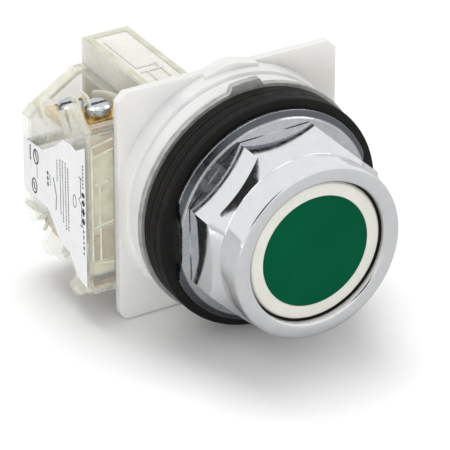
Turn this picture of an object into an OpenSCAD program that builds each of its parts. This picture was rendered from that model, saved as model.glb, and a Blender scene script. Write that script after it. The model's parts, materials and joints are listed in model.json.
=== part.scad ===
// Flush push button for a 30.5 mm panel hole, with one contact block behind its base.
// Frame: the origin is on the button's axis, at the front face of the foremost gasket, which
// meets the back of the panel. -Y points at the user, +Y into the enclosure, +Z up.

/* [Panel seal] */
// Diameter of the rubber gaskets
gasket_d = 42.2; // [40:0.1:42.4]
// Thickness of one gasket
gasket_t = 1.85; // [1.2:0.05:2.5]
// Thickness of the metal locating ring
locating_t = 1.2; // [0.8:0.1:2]
// Outer diameter of the threaded barrel, for a 30.5 mm panel hole
barrel_d = 30; // [29:0.1:30]

/* [Base] */
// Width of the base plate, sideways
plate_w = 42.6; // [42:0.1:44]
// Height of the base plate
plate_h = 43.4; // [43:0.1:46]
// Thickness of the base plate
plate_t = 1.5; // [1.2:0.1:2.5]
// Depth of the round boss in front of the plate
boss_depth = 6.85; // [5:0.05:9]
// Distance of a block screw from the axis, sideways
block_screw_x = 10; // [9:0.1:11]
// Distance of a block screw from the axis, up or down
block_screw_z = 16.5; // [16:0.1:17]

/* [Front] */
// Diameter of the trim washer
washer_d = 39; // [38:0.1:40]
// Width across the flats of the octagonal ring nut
nut_af = 32.9; // [32.6:0.1:33.2]
// Diameter of the nut's round bezel
bezel_d = 31.6; // [31.4:0.1:32]
// Diameter of the opening around the button
opening_d = 25.8; // [25.6:0.1:26]

/* [Button] */
// Diameter of the button cap
cap_d = 25.18; // [25:0.02:25.3]
// Diameter of the coloured insert
insert_d = 20.1; // [18:0.1:21]
// How far the button travels
travel = 4; // [3:0.1:4]

/* [Contact block] */
// Width of the block, sideways
block_w = 21; // [20:0.1:22]
// Depth of the block behind the base
block_depth = 23.4; // [23.2:0.1:24]
// Height of the block's taller half
block_h = 40.4; // [40:0.1:42]
// Wall thickness of the block's case
wall = 1.2; // [1:0.1:1.4]

/* [Hidden] */
$fn = 64;
fit = 0.06;        // running clearance on a radius
eps = 0.5;         // how far a cutter passes a face

// Stations along the axis, from the gasket face
locating_y = 3 * gasket_t;
boss_y = locating_y + locating_t;
plate_y = boss_y + boss_depth;
back_y = plate_y + plate_t;
step_y = boss_y + 3.9;
washer_y = -2.2;
bezel_y = -15.9;
shoulder_y = -10.2;
flange_y = -13.2;
barrel_front_y = -12;
cap_y = -14.76;
web_y = [1.5, 5];
insert_y = back_y - 3.9;
yoke_y = [9, 11];

barrel_r = barrel_d / 2;
bore_r = cap_d / 2 + fit + 0.01;
stem_r = 4;
cavity_r = 12;
flange_r = 17.3;
slot_half_z = 4.2;
barrel_screw_z = 16.1;
screw_shank_r = 0.75;
screw_head_r = 1.05;
screw_head_t = 0.7;
slot_half_x = 19.6;
spring_r = 8;
spring_wire = 1;

// The contact block, on the left of the axis, and mirrored above and below it
block_x = [-26.6, -26.6 + block_w];
split_x = block_x[0] + 11.9;
deck_x = split_x - 2;
plunger_x = block_x[0] + 10.5;
block_back_y = back_y + block_depth;
front_step_y = back_y + 8.3;
rear_step_y = back_y + 20.8;
front_terminal_z = 14.4;
rear_terminal_z = 10.4;
lip_z = 16;
fin_z = 15.4;
front_screw_y = back_y + 4.5;
rear_screw_y = back_y + 13.9;
terminal_x = block_x[0] + 4.7;
pad_x = [terminal_x - 3, terminal_x + 5];
tongue_x = [pad_x[1] - 2.4, pad_x[1]];
strip_x = [plunger_x - 2, plunger_x + 2];
strip_t = 0.8;
closed_strip_y = back_y + 4.1;
open_strip_y = back_y + 18.4;
closed_bridge_y = back_y + 5.9;
open_bridge_y = back_y + 12.7;
carrier_y = [back_y + 1.9, back_y + 15.9];
rivet_y = back_y + 20.9;
rivet_z = 4;
rivet_r = 0.9;
plunger_r = 2.5;
bridge_spring_l = 2.4;
carrier_half_z = 4;
clamp_t = 0.9;
head_r = 2.3;
head_t = 1.8;
terminal_shank_r = 1.5;
tip_r = 1.2;
tip_z = 7.2;

function mirrored(points) =
    concat(points, [for (i = [len(points) - 1:-1:0]) [points[i][0], -points[i][1]]]);

// Turns a profile of [radius, y] points about the button's axis.
module turned(points) {
    rotate([-90, 0, 0]) rotate_extrude($fn = 128) polygon(points);
}

// A cylinder along +Y.
module rod(r, y0, y1, x = 0, z = 0) {
    translate([x, y0, z]) rotate([-90, 0, 0]) cylinder(r = r, h = y1 - y0);
}

// Extrudes a shape drawn in X and Z from y0 to y1.
module along_y(y0, y1) {
    translate([0, y1, 0]) rotate([90, 0, 0]) linear_extrude(y1 - y0) children();
}

// Extrudes a shape drawn in Y and Z from x0 to x1.
module along_x(x0, x1) {
    translate([x0, 0, 0]) rotate([90, 0, 90]) linear_extrude(x1 - x0) children();
}

// A box between two corners.
module block(low, high) {
    translate(low) cube(high - low);
}

module ring(r_in, r_out, y0, y1) {
    difference() {
        rod(r_out, y0, y1, $fn = 128);
        rod(r_in, y0 - eps, y1 + eps, $fn = 128);
    }
}

module both_z() {
    children();
    mirror([0, 0, 1]) children();
}

module four_corners(x, z) {
    for (sx = [-1, 1], sz = [-1, 1]) translate([sx * x, 0, sz * z]) children();
}

// Slot for the crossbar, open to the back.
module crossbar_slot() {
    block([-slot_half_x, yoke_y[0] - 0.6, -slot_half_z], [slot_half_x, back_y + eps, slot_half_z]);
}

module plate_outline() {
    side = plate_w / 2;
    top = plate_h / 2;
    top_cut = 1.5;
    foot_r = 2;
    difference() {
        square([plate_w, plate_h], center = true);
        for (sx = [-1, 1]) {
            translate([sx * side, top]) rotate(45) square(top_cut * sqrt(2), center = true);
            difference() {
                translate([sx * side, -top]) square(2 * foot_r, center = true);
                translate([sx * (side - foot_r), -top + foot_r]) circle(foot_r);
            }
        }
    }
}

module operator_base() {
    side = plate_w / 2;
    boss_front_r = 21;
    boss_rear_r = 21.9;
    pointer_base_z = 21;
    pointer_z = 22.8;
    color("whitesmoke")
    difference() {
        union() {
            along_y(plate_y, back_y) plate_outline();
            intersection() {
                turned([
                    [0, boss_y], [boss_front_r - 0.4, boss_y], [boss_front_r, boss_y + 0.4],
                    [boss_front_r, step_y - 0.35], [boss_front_r - 0.35, step_y],
                    [boss_rear_r - 0.5, step_y + 0.3], [boss_rear_r, plate_y], [0, plate_y]
                ]);
                block([-side, boss_y, -boss_rear_r], [side, plate_y, boss_rear_r]);
            }
            along_y(plate_y - 1.2, back_y) polygon([
                [-5.2, pointer_base_z], [5.2, pointer_base_z], [5.2, pointer_base_z + 0.6], [0.9, pointer_z],
                [-0.9, pointer_z], [-5.2, pointer_base_z + 0.6]
            ]);
        }
        rod(barrel_r, boss_y - eps, back_y + eps, $fn = 128);
        rod(flange_r, back_y - 1.9, back_y + eps, $fn = 128);
        crossbar_slot();
        four_corners(block_screw_x, block_screw_z) rod(1.9, insert_y, back_y + eps);
        both_z() rod(screw_shank_r, insert_y, back_y, z = barrel_screw_z);
    }
}

module threaded_barrel() {
    color("silver")
    difference() {
        union() {
            rod(barrel_r, barrel_front_y, back_y, $fn = 128);
            rod(flange_r, back_y - 1.9, back_y, $fn = 128);
        }
        rod(bore_r, barrel_front_y - eps, web_y[0], $fn = 128);
        rod(stem_r + fit, web_y[0] - eps, web_y[1] + eps);
        rod(cavity_r, web_y[1], back_y + eps, $fn = 128);
        crossbar_slot();
        both_z() {
            rod(screw_shank_r, insert_y, back_y + eps, z = barrel_screw_z);
            rod(screw_head_r, back_y - screw_head_t, back_y + eps, z = barrel_screw_z);
        }
    }
}

module barrel_screws() {
    color("lightsteelblue")
    both_z() difference() {
        union() {
            rod(screw_shank_r, insert_y, back_y, z = barrel_screw_z);
            rod(screw_head_r, back_y - screw_head_t, back_y, z = barrel_screw_z);
        }
        block([-0.15, back_y - 0.4, barrel_screw_z - 2], [0.15, back_y + eps, barrel_screw_z + 2]);
    }
}

// Threaded brass inserts that the contact blocks' screws go into.
module mounting_inserts() {
    color("goldenrod")
    four_corners(block_screw_x, block_screw_z) difference() {
        rod(1.9, insert_y, back_y);
        rod(1.25, insert_y - eps, back_y + eps);
    }
}

module locating_ring() {
    ring_r = 21.6;
    tab_angle = 3.5;
    color("gray") {
        ring(barrel_r, ring_r, locating_y, boss_y);
        rotate([0, -tab_angle, 0]) along_y(locating_y, boss_y) difference() {
            polygon([[-3.5, 20], [3.5, 20], [3.4, 21.4], [2.35, 22.8], [-2.35, 22.8], [-3.4, 21.4]]);
            circle(ring_r, $fn = 128);
        }
    }
}

// One gasket, with a rounded lip at each edge of its rim.
module gasket(y0) {
    r = gasket_d / 2;
    lip = 0.35;
    color("#1d1c1b")
    turned([
        [barrel_r, y0], [r - lip, y0], [r, y0 + lip], [r, y0 + gasket_t - lip],
        [r - lip, y0 + gasket_t], [barrel_r, y0 + gasket_t]
    ]);
}

module gasket_front() gasket(0);
module gasket_middle() gasket(gasket_t);
module gasket_rear() gasket(2 * gasket_t);

module trim_washer() {
    r = washer_d / 2;
    seat_r = 18.3;
    flat_x = 17.95;
    color("#8e9499")
    intersection() {
        turned([
            [barrel_r, 0], [r - 0.4, 0], [r, -0.5], [r - 0.1, -0.95], [seat_r + 0.1, -1.7],
            [seat_r - 0.3, -2], [seat_r - 1.2, -2], [seat_r - 1.6, washer_y + 0.35],
            [16.4, washer_y + 0.35], [16.2, washer_y], [barrel_r, washer_y]
        ]);
        block([-flat_x, washer_y - eps, -r - eps], [flat_x, eps, r + eps]);
    }
}

module ring_nut() {
    corner_r = nut_af / 2 / cos(22.5);
    flat_r = nut_af / 2;
    bezel_r = bezel_d / 2;
    color("#d9dcdf")
    difference() {
        union() {
            intersection() {
                rotate([0, 1.5, 0]) translate([0, washer_y, 0]) rotate([90, 22.5, 0])
                    cylinder(r = corner_r, h = washer_y - bezel_y, $fn = 8);
                turned([
                    [0, washer_y], [corner_r + 0.1, washer_y], [corner_r + 0.1, -7.9],
                    [flat_r, -9.2], [bezel_r - 0.25, shoulder_y], [0, shoulder_y]
                ]);
            }
            turned([
                [0, shoulder_y], [bezel_r - 0.25, shoulder_y], [bezel_r, shoulder_y - 0.25],
                [bezel_r, bezel_y + 0.75], [bezel_r - 0.2, bezel_y + 0.35], [bezel_r - 0.6, bezel_y + 0.1],
                [bezel_r - 1.2, bezel_y], [opening_d / 2 + 0.4, bezel_y],
                [opening_d / 2 + 0.1, bezel_y + 0.1], [0, bezel_y + 0.6]
            ]);
        }
        rod(barrel_r, flange_y, washer_y + eps, $fn = 128);
        rod(opening_d / 2, bezel_y - eps, flange_y + eps, $fn = 128);
    }
}

// Rubber ring that wipes the cap, clamped between the barrel and the nut.
module wiper_seal() {
    color("#262626") ring(bore_r, barrel_r, flange_y, barrel_front_y);
}

module button_cap() {
    r = cap_d / 2;
    insert_r = insert_d / 2;
    skirt_y = -6;
    color("#eceade")
    difference() {
        turned([
            [0, cap_y + 0.5], [insert_r, cap_y + 0.5], [insert_r, cap_y + 0.12], [insert_r + 0.12, cap_y],
            [r - 0.45, cap_y], [r - 0.12, cap_y + 0.13], [r, cap_y + 0.45], [r, skirt_y],
            [r - 1.4, skirt_y], [r - 1.4, cap_y + 2.4], [0, cap_y + 2.4]
        ]);
        rod(2, cap_y - eps, skirt_y);
    }
}

module colour_insert() {
    r = insert_d / 2;
    color("#075438")
    union() {
        turned([
            [0, cap_y - 0.02], [r - 0.1, cap_y - 0.02], [r - 0.02, cap_y + 0.06],
            [r - 0.02, cap_y + 0.5], [0, cap_y + 0.5]
        ]);
        rod(2, cap_y + 0.4, cap_y + 2.4);
    }
}

module button_stem() {
    clip_groove_y = web_y[1] + 0.3;
    color("gainsboro")
    difference() {
        rod(stem_r, cap_y + 2.4, yoke_y[0]);
        difference() {
            rod(stem_r + eps, clip_groove_y, clip_groove_y + 0.8);
            rod(stem_r - 0.7, clip_groove_y - eps, clip_groove_y + 0.8 + eps);
        }
    }
}

// Retaining clip: it stops against the web and holds the button in the barrel.
module stem_clip() {
    clip_y = web_y[1] + 0.3;
    mouth = 2.6;
    color("slategray")
    difference() {
        rod(stem_r + 1.8, clip_y, clip_y + 0.8);
        rod(stem_r - 0.7, clip_y - eps, clip_y + 0.8 + eps);
        block([-mouth, clip_y - eps, -2 * stem_r], [mouth, clip_y + 0.8 + eps, 0]);
    }
}

// Crossbar that carries the push out to a block on either side.
module actuator_yoke() {
    hub_r = 6;
    arm_x = slot_half_x - 0.6;
    arm_z = slot_half_z - 0.6;
    color("#3c3c40")
    union() {
        rod(hub_r, yoke_y[0], yoke_y[1]);
        block([-arm_x, yoke_y[0], -arm_z], [arm_x, yoke_y[1], arm_z]);
    }
}

// A coil spring, as the sleeve its turns fill.
module spring_sleeve(r_out, wire, y0, y1, x = 0) {
    color("lightsteelblue")
    difference() {
        rod(r_out, y0, y1, x);
        rod(r_out - wire, y0 - eps, y1 + eps, x);
    }
}

module return_spring() spring_sleeve(spring_r, spring_wire, cap_y + 2.4, web_y[0]);
module carrier_spring() spring_sleeve(1.9, 0.4, carrier_y[1] - 1.6, block_back_y - wall, plunger_x);
module bridge_spring_closed() {
    spring_sleeve(1.5, 0.4, closed_bridge_y + strip_t, closed_bridge_y + strip_t + bridge_spring_l + 0.2, plunger_x);
}
module bridge_spring_open() {
    spring_sleeve(1.5, 0.4, open_bridge_y - bridge_spring_l, open_bridge_y, plunger_x);
}

// Outline of the block's outer side wall, in Y behind the base and Z, with its terminal notches.
function side_outline() = [for (p = mirrored([
    [0, 15.4], [5.1, 18.6], [7.6, 17.3], [4.9, 14.2], [5.9, 11], [8.1, 13], [10.4, 14.3],
    [11.9, 14], [15.3, 15.6], [17.8, 14.4], [14.1, 9], [14.6, 7], [16.2, 8.6], [18.8, 10.7],
    [21.1, 11.6], [block_depth, 8.7]
])) [back_y + p[0], p[1]]];

// Steps of the label half under its terminals, inset by the given amount.
module stepped_half(inset) {
    f = front_terminal_z - inset;
    r = rear_terminal_z - inset;
    along_x(block_x[0] + (inset > 0 ? inset : 0.6), split_x + (inset > 0 ? eps : 0)) polygon(mirrored([
        [back_y + inset, f], [front_step_y - inset, f], [front_step_y - inset, r],
        [block_back_y - inset, r]
    ]));
}

module back_fin_outline() {
    polygon(mirrored([[block_x[0], 8.7], [block_x[0] + 1.4, 10], [deck_x, fin_z], [split_x, fin_z]]));
}

module block_case_left() {
    color("#e6e6c8")
    difference() {
        union() {
            along_x(block_x[0], block_x[0] + wall) polygon(side_outline());
            stepped_half(0);
            along_y(rear_step_y, block_back_y) back_fin_outline();
            both_z() block([deck_x, front_step_y - wall, rear_terminal_z - 1], [split_x, block_back_y, fin_z]);
            both_z() block([block_x[0] + 0.6, back_y, front_terminal_z - 1], [split_x, back_y + wall, lip_z]);
        }
        difference() {
            stepped_half(wall);
            both_z() block([deck_x, front_step_y, rear_terminal_z - wall], [split_x + 1, block_back_y, fin_z]);
        }
        rod(plunger_r + fit, back_y - eps, back_y + wall + eps, plunger_x);
        both_z() contact_cutout(closed_strip_y, front_terminal_z);
        both_z() contact_cutout(open_strip_y, rear_terminal_z);
        for (y = [front_screw_y, rear_screw_y]) both_z()
            translate([terminal_x, y, tip_z]) cylinder(r = terminal_shank_r + 0.1, h = front_terminal_z);
        both_z() rivet_hole();
    }
}

module contact_cutout(y, z) {
    block([tongue_x[0], y, z - 3], [tongue_x[1], y + strip_t, z + 1]);
}

module rivet_hole() {
    translate([block_x[0] - eps, rivet_y, rivet_z]) rotate([0, 90, 0])
        cylinder(r = rivet_r + fit, h = block_w + 2 * eps);
}

module block_case_right() {
    half = block_h / 2;
    column_r = 3;
    color("#e9e7d8")
    difference() {
        union() {
            difference() {
                block([split_x, back_y, -half], [block_x[1], block_back_y, half]);
                block([split_x - eps, back_y + wall, -half + wall],
                      [block_x[1] - wall, block_back_y - wall, half - wall]);
            }
            both_z() rod(column_r, back_y, block_back_y, -block_screw_x, block_screw_z);
            both_z() block([split_x, back_y, fin_z], [split_x + wall, block_back_y, half]);
        }
        rod(plunger_r + fit, back_y - eps, back_y + wall + eps, plunger_x);
        both_z() rod(1.3, back_y - eps, block_back_y + eps, -block_screw_x, block_screw_z);
        both_z() rod(2.3, block_back_y - 1.9, block_back_y + eps, -block_screw_x, block_screw_z);
        both_z() rivet_hole();
    }
}

module block_label() {
    color("white") along_x(block_x[0] - 0.12, block_x[0]) polygon([for (p = [
        [0.4, 12.4], [3.7, 10.4], [5.4, 10.9], [8.3, 10.4], [10.9, 8], [15.8, 5],
        [block_depth - 0.4, 4.4], [block_depth - 0.4, -5.8], [14.2, -5.6], [9.6, -10.4],
        [6.4, -10.4], [3.6, -14], [0.4, -14.6]
    ]) [back_y + p[0], p[1]]]);
}

module block_plunger() {
    color("#c9c7b6") rod(plunger_r, yoke_y[1] + 0.05, carrier_y[0], plunger_x);
}

module window(y0, y1) {
    block([strip_x[0], y0, -carrier_half_z - eps], [strip_x[1], y1, carrier_half_z + eps]);
}

// Sliding carrier with one window for each contact bridge and a pocket for its spring.
module contact_carrier() {
    x = [plunger_x - 4, plunger_x + 4];
    color("#c9c7b6")
    difference() {
        block([x[0], carrier_y[0], -carrier_half_z], [x[1], carrier_y[1], carrier_half_z]);
        window(closed_bridge_y - 0.6, closed_bridge_y + strip_t + bridge_spring_l + 0.2);
        window(open_bridge_y - bridge_spring_l, open_bridge_y + strip_t);
        rod(2, carrier_y[1] - 1.6, carrier_y[1] + eps, plunger_x);
    }
}

// Moving contact bridge; its silver tips face the fixed contacts.
module bridge(y, tip_side) {
    tip_y = tip_side > 0 ? y + strip_t : y - 0.5;
    color("goldenrod")
    union() {
        block([strip_x[0], y, -8.6], [strip_x[1], y + strip_t, 8.6]);
        both_z() rod(tip_r, tip_y, tip_y + 0.5, plunger_x, tip_z);
    }
}

module bridge_closed() bridge(closed_bridge_y, -1);
module bridge_open() bridge(open_bridge_y, 1);

// Fixed contact: a strip with a tip inside, and the pad under a terminal outside.
module fixed_contact(y, z, pad_y, tip) {
    color("goldenrod")
    difference() {
        union() {
            along_y(y, y + strip_t) polygon([
                [strip_x[1], 5.8], [strip_x[0], 5.8], [strip_x[0], z - 2.4], [tongue_x[0], z - 2.4],
                [tongue_x[0], z], [tongue_x[1], z], [tongue_x[1], z - 1.6], [strip_x[1], z - 1.6]
            ]);
            block([pad_x[0], pad_y[0], z], [pad_x[1], pad_y[1], z + strip_t]);
            rod(tip_r, tip[0], tip[1], plunger_x, tip_z);
        }
        translate([terminal_x, (z == front_terminal_z ? front_screw_y : rear_screw_y), z - eps])
            cylinder(r = terminal_shank_r, h = 2 * eps + strip_t);
    }
}

module contact_closed() {
    fixed_contact(closed_strip_y, front_terminal_z, [back_y + 1.2, back_y + 7.8],
                  [closed_strip_y + strip_t, closed_bridge_y - 0.5]);
}

module contact_open() {
    fixed_contact(open_strip_y, rear_terminal_z, [back_y + 10.4, open_strip_y + strip_t],
                  [open_bridge_y + strip_t + 0.5 + travel + 0.1, open_strip_y]);
}

module contact_closed_upper() contact_closed();
module contact_closed_lower() mirror([0, 0, 1]) contact_closed();
module contact_open_upper() contact_open();
module contact_open_lower() mirror([0, 0, 1]) contact_open();

module at_terminals() {
    both_z() {
        translate([terminal_x, front_screw_y, front_terminal_z + strip_t]) children();
        translate([terminal_x, rear_screw_y, rear_terminal_z + strip_t]) children();
    }
}

module clamp_plates() {
    clamp_w = 5.8;
    color("#b9a15a")
    at_terminals() difference() {
        translate([-clamp_w / 2, -clamp_w / 2, 0]) cube([clamp_w, clamp_w, clamp_t]);
        translate([0, 0, -eps]) cylinder(r = terminal_shank_r, h = clamp_t + 2 * eps);
    }
}

module terminal_screws() {
    crown_t = 0.4;
    color("lightgray")
    at_terminals() difference() {
        union() {
            translate([0, 0, -3.2]) cylinder(r = terminal_shank_r, h = 3.2 + clamp_t);
            translate([0, 0, clamp_t]) cylinder(r = head_r, h = head_t - crown_t);
            translate([0, 0, clamp_t + head_t - crown_t])
                cylinder(r1 = head_r, r2 = head_r - 0.5, h = crown_t);
        }
        translate([-3, -0.4, clamp_t + head_t - 1]) cube([6, 0.8, 2]);
    }
}

module block_screws() {
    color("lightgray")
    both_z() translate([-block_screw_x, 0, block_screw_z]) difference() {
        union() {
            rod(1.2, insert_y + 0.3, block_back_y - 1.9);
            rod(2.2, block_back_y - 1.9, block_back_y - 0.4);
        }
        block([-2.5, block_back_y - 1.1, -0.3], [2.5, block_back_y, 0.3]);
    }
}

module case_rivets() {
    head_r = 1.4;
    color("silver")
    both_z() translate([0, rivet_y, rivet_z]) rotate([0, 90, 0]) {
        translate([0, 0, block_x[0]]) cylinder(r = rivet_r, h = block_w);
        translate([0, 0, block_x[1]]) cylinder(r = head_r, h = 0.3);
    }
}

operator_base();
threaded_barrel();
barrel_screws();
mounting_inserts();
locating_ring();
gasket_rear();
gasket_middle();
gasket_front();
trim_washer();
ring_nut();
wiper_seal();
button_cap();
colour_insert();
button_stem();
actuator_yoke();
stem_clip();
return_spring();
block_case_left();
block_case_right();
block_label();
block_plunger();
contact_carrier();
bridge_closed();
bridge_open();
bridge_spring_closed();
bridge_spring_open();
carrier_spring();
contact_closed_upper();
contact_closed_lower();
contact_open_upper();
contact_open_lower();
terminal_screws();
clamp_plates();
block_screws();
case_rivets();
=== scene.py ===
"""Looks for the flush push button: chrome nut, rubber gaskets, plastic base and contact block."""

import json
import math
import random

import bmesh
import bpy
from mathutils import Matrix, Vector

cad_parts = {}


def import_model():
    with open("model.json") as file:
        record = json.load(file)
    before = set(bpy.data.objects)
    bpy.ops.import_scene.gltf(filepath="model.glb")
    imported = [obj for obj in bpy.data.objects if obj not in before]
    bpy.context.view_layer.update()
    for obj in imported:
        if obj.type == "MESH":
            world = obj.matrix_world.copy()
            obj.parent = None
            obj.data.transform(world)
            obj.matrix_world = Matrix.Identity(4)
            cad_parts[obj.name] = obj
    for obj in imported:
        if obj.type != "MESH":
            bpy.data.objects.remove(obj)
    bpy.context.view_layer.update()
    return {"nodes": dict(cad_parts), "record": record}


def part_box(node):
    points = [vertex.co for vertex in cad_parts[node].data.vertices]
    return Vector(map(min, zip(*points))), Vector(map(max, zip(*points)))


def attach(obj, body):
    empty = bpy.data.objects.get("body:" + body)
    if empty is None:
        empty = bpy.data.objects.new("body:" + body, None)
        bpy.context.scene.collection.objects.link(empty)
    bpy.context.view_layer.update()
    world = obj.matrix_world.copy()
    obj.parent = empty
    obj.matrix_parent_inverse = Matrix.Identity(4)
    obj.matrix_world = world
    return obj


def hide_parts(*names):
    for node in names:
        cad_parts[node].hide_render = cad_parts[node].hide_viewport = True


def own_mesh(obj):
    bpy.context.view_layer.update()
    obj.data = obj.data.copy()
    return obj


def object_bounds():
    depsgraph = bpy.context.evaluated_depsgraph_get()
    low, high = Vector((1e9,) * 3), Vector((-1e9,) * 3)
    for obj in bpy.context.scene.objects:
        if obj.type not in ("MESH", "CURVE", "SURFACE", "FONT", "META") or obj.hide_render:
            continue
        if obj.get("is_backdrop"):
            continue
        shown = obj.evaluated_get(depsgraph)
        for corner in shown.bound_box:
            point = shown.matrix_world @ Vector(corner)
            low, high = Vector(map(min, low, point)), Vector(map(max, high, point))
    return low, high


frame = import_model()

MM = 0.001
FINE = 256  # steps round a turned piece
VERY_FINE = 512  # the same, where the piece has flats
NODES = frame["nodes"]
SLOTS = {part["node"]: part["material_slot"] for part in frame["record"]["subparts"]}
BODIES = {node: body for body, nodes in frame["record"]["behaviour"]["bodies"].items() for node in nodes}


# ---------------------------------------------------------------- materials


class Surface:
    """A Principled material whose detail is built from object-space noise."""

    def __init__(self, name, colour, roughness, metallic=0.0, **sockets):
        self.material = bpy.data.materials.new(name)
        self.material.use_nodes = True
        self.tree = self.material.node_tree
        self.shader = self.tree.nodes["Principled BSDF"]
        self.shader.inputs["Base Color"].default_value = (*colour, 1)
        self.shader.inputs["Roughness"].default_value = roughness
        self.shader.inputs["Metallic"].default_value = metallic
        for socket, value in sockets.items():
            self.shader.inputs[socket.replace("_", " ")].default_value = value
        self.colour = colour
        self.height = None

    def add(self, kind, **values):
        """A new node; each value sets the input or the property of that name."""
        node = self.tree.nodes.new(kind)
        for key, value in values.items():
            if key in node.inputs:
                node.inputs[key].default_value = value
            else:
                setattr(node, key, value)
        return node

    def link(self, start, end):
        self.tree.links.new(start, end)

    def noise(self, scale, detail=3.0, stretch=(1, 1, 1)):
        """Noise in object space, 0 to 1; scale is in cells per millimetre."""
        coords = self.add("ShaderNodeTexCoord")
        mapping = self.add("ShaderNodeMapping")
        mapping.inputs["Scale"].default_value = [s / MM for s in stretch]
        noise = self.add("ShaderNodeTexNoise", Scale=scale, Detail=detail)
        self.link(coords.outputs["Object"], mapping.inputs["Vector"])
        self.link(mapping.outputs["Vector"], noise.inputs["Vector"])
        return noise.outputs["Fac"]

    def radius(self):
        """Distance from the button's axis, in metres."""
        coords = self.add("ShaderNodeTexCoord")
        flat = self.add("ShaderNodeVectorMath", operation="MULTIPLY")
        flat.inputs[1].default_value = (1, 0, 1)
        self.link(coords.outputs["Object"], flat.inputs[0])
        length = self.add("ShaderNodeVectorMath", operation="LENGTH")
        self.link(flat.outputs["Vector"], length.inputs[0])
        return length.outputs["Value"]

    def radial_noise(self, scale, detail, along):
        """Noise that changes with the distance from the button's axis and, by along, with Y."""
        coords = self.add("ShaderNodeTexCoord")
        split = self.add("ShaderNodeSeparateXYZ")
        self.link(coords.outputs["Object"], split.inputs[0])
        place = self.add("ShaderNodeCombineXYZ")
        self.link(self.radius(), place.inputs["X"])
        self.link(split.outputs["Y"], place.inputs["Y"])
        mapping = self.add("ShaderNodeMapping")
        mapping.inputs["Scale"].default_value = (1 / MM, along / MM, 1)
        self.link(place.outputs[0], mapping.inputs["Vector"])
        noise = self.add("ShaderNodeTexNoise", Scale=scale, Detail=detail)
        self.link(mapping.outputs["Vector"], noise.inputs["Vector"])
        return noise.outputs["Fac"]

    def spread(self, value, low, high, start=0.3, end=0.7):
        """Maps start to end onto low to high, with the rest clamped."""
        ramp = self.add("ShaderNodeMapRange")
        for key, number in (("From Min", start), ("From Max", end), ("To Min", low), ("To Max", high)):
            ramp.inputs[key].default_value = number
        self.link(value, ramp.inputs["Value"])
        return ramp.outputs["Result"]

    def vary_roughness(self, value, low, high):
        self.link(self.spread(value, low, high), self.shader.inputs["Roughness"])

    def vary_colour(self, value, other, amount=1.0, start=0.35, end=0.65):
        """Mixes towards another colour where the value is high."""
        mix = self.add("ShaderNodeMix", data_type="RGBA")
        current = self.shader.inputs["Base Color"]
        if current.is_linked:
            self.link(current.links[0].from_socket, mix.inputs["A"])
        else:
            mix.inputs["A"].default_value = (*self.colour, 1)
        mix.inputs["B"].default_value = (*other, 1)
        self.link(self.spread(value, 0, amount, start, end), mix.inputs["Factor"])
        self.link(mix.outputs["Result"], current)

    def bump(self, value, distance, strength=1.0):
        """Adds relief; distance is in millimetres."""
        node = self.add("ShaderNodeBump")
        node.inputs["Strength"].default_value = strength
        node.inputs["Distance"].default_value = distance * MM
        self.link(value, node.inputs["Height"])
        if self.height is not None:
            self.link(self.height, node.inputs["Normal"])
        self.height = node.outputs["Normal"]
        self.link(self.height, self.shader.inputs["Normal"])

    def glow_through(self, weight, radius, scale):
        """Lets light pass a little way into the material; scale is in metres."""
        self.shader.inputs["Subsurface Weight"].default_value = weight
        self.shader.inputs["Subsurface Radius"].default_value = radius
        self.shader.inputs["Subsurface Scale"].default_value = scale


def chrome():
    s = Surface("chrome_plate", (0.80, 0.81, 0.825), 0.08, 1.0)
    s.vary_colour(s.noise(0.5, 6), (0.71, 0.72, 0.735), 0.4)
    s.vary_roughness(s.noise(0.8, 6), 0.05, 0.13)
    s.bump(s.noise(0.25, 2), 0.012, 0.25)
    s.bump(s.noise(5, 3), 0.003, 0.2)
    return s.material


def satin_zinc():
    s = Surface("satin_zinc", (0.34, 0.36, 0.375), 0.26, 1.0)
    s.vary_colour(s.noise(0.35, 5), (0.17, 0.185, 0.195), 0.85)
    s.vary_roughness(s.noise(0.8, 4), 0.22, 0.42)
    s.bump(s.noise(3, 4), 0.02, 0.4)
    return s.material


def washer_steel():
    """Bright raised ring, with a darker band between it and the rim."""
    s = Surface("washer_steel", (0.62, 0.64, 0.66), 0.24, 1.0)
    s.vary_colour(s.noise(0.5, 5), (0.44, 0.46, 0.48), 0.5)
    # darker from about 18.4 mm out, and the rim beyond about 19.4 mm a little less dark
    s.vary_colour(s.radius(), (0.085, 0.095, 0.108), 0.94, 18.25 * MM, 18.5 * MM)
    s.vary_colour(s.radius(), (0.24, 0.25, 0.265), 0.8, 19.3 * MM, 19.42 * MM)
    s.vary_roughness(s.noise(0.8, 4), 0.18, 0.36)
    s.bump(s.noise(3, 4), 0.012, 0.4)
    return s.material


def streaked_steel():
    s = Surface("streaked_steel", (0.46, 0.46, 0.445), 0.36, 0.7)
    s.vary_colour(s.noise(0.5, 5, (1, 2.5, 1)), (0.22, 0.22, 0.215), 0.6, 0.45, 0.7)
    s.vary_roughness(s.noise(1.2, 3), 0.3, 0.6)
    s.bump(s.noise(2.5, 4), 0.02, 0.4)
    return s.material


def bright_steel():
    s = Surface("bright_steel", (0.62, 0.64, 0.66), 0.22, 1.0)
    s.vary_colour(s.noise(1.1, 4), (0.42, 0.43, 0.44), 0.6)
    s.vary_roughness(s.noise(2, 3), 0.16, 0.34)
    s.bump(s.noise(5, 3), 0.01, 0.4)
    return s.material


def spring_steel():
    s = Surface("spring_steel", (0.48, 0.49, 0.50), 0.28, 1.0)
    s.vary_roughness(s.noise(2, 3), 0.2, 0.4)
    s.bump(s.noise(6, 2, (1, 1, 1)), 0.008, 0.4)
    return s.material


def brass():
    s = Surface("satin_brass", (0.72, 0.47, 0.14), 0.28, 1.0)
    s.vary_colour(s.noise(0.7, 5), (0.42, 0.24, 0.06), 0.7)
    s.vary_roughness(s.noise(2, 4), 0.2, 0.45)
    s.bump(s.noise(4, 3, (1, 4, 1)), 0.012, 0.4)
    return s.material


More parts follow.
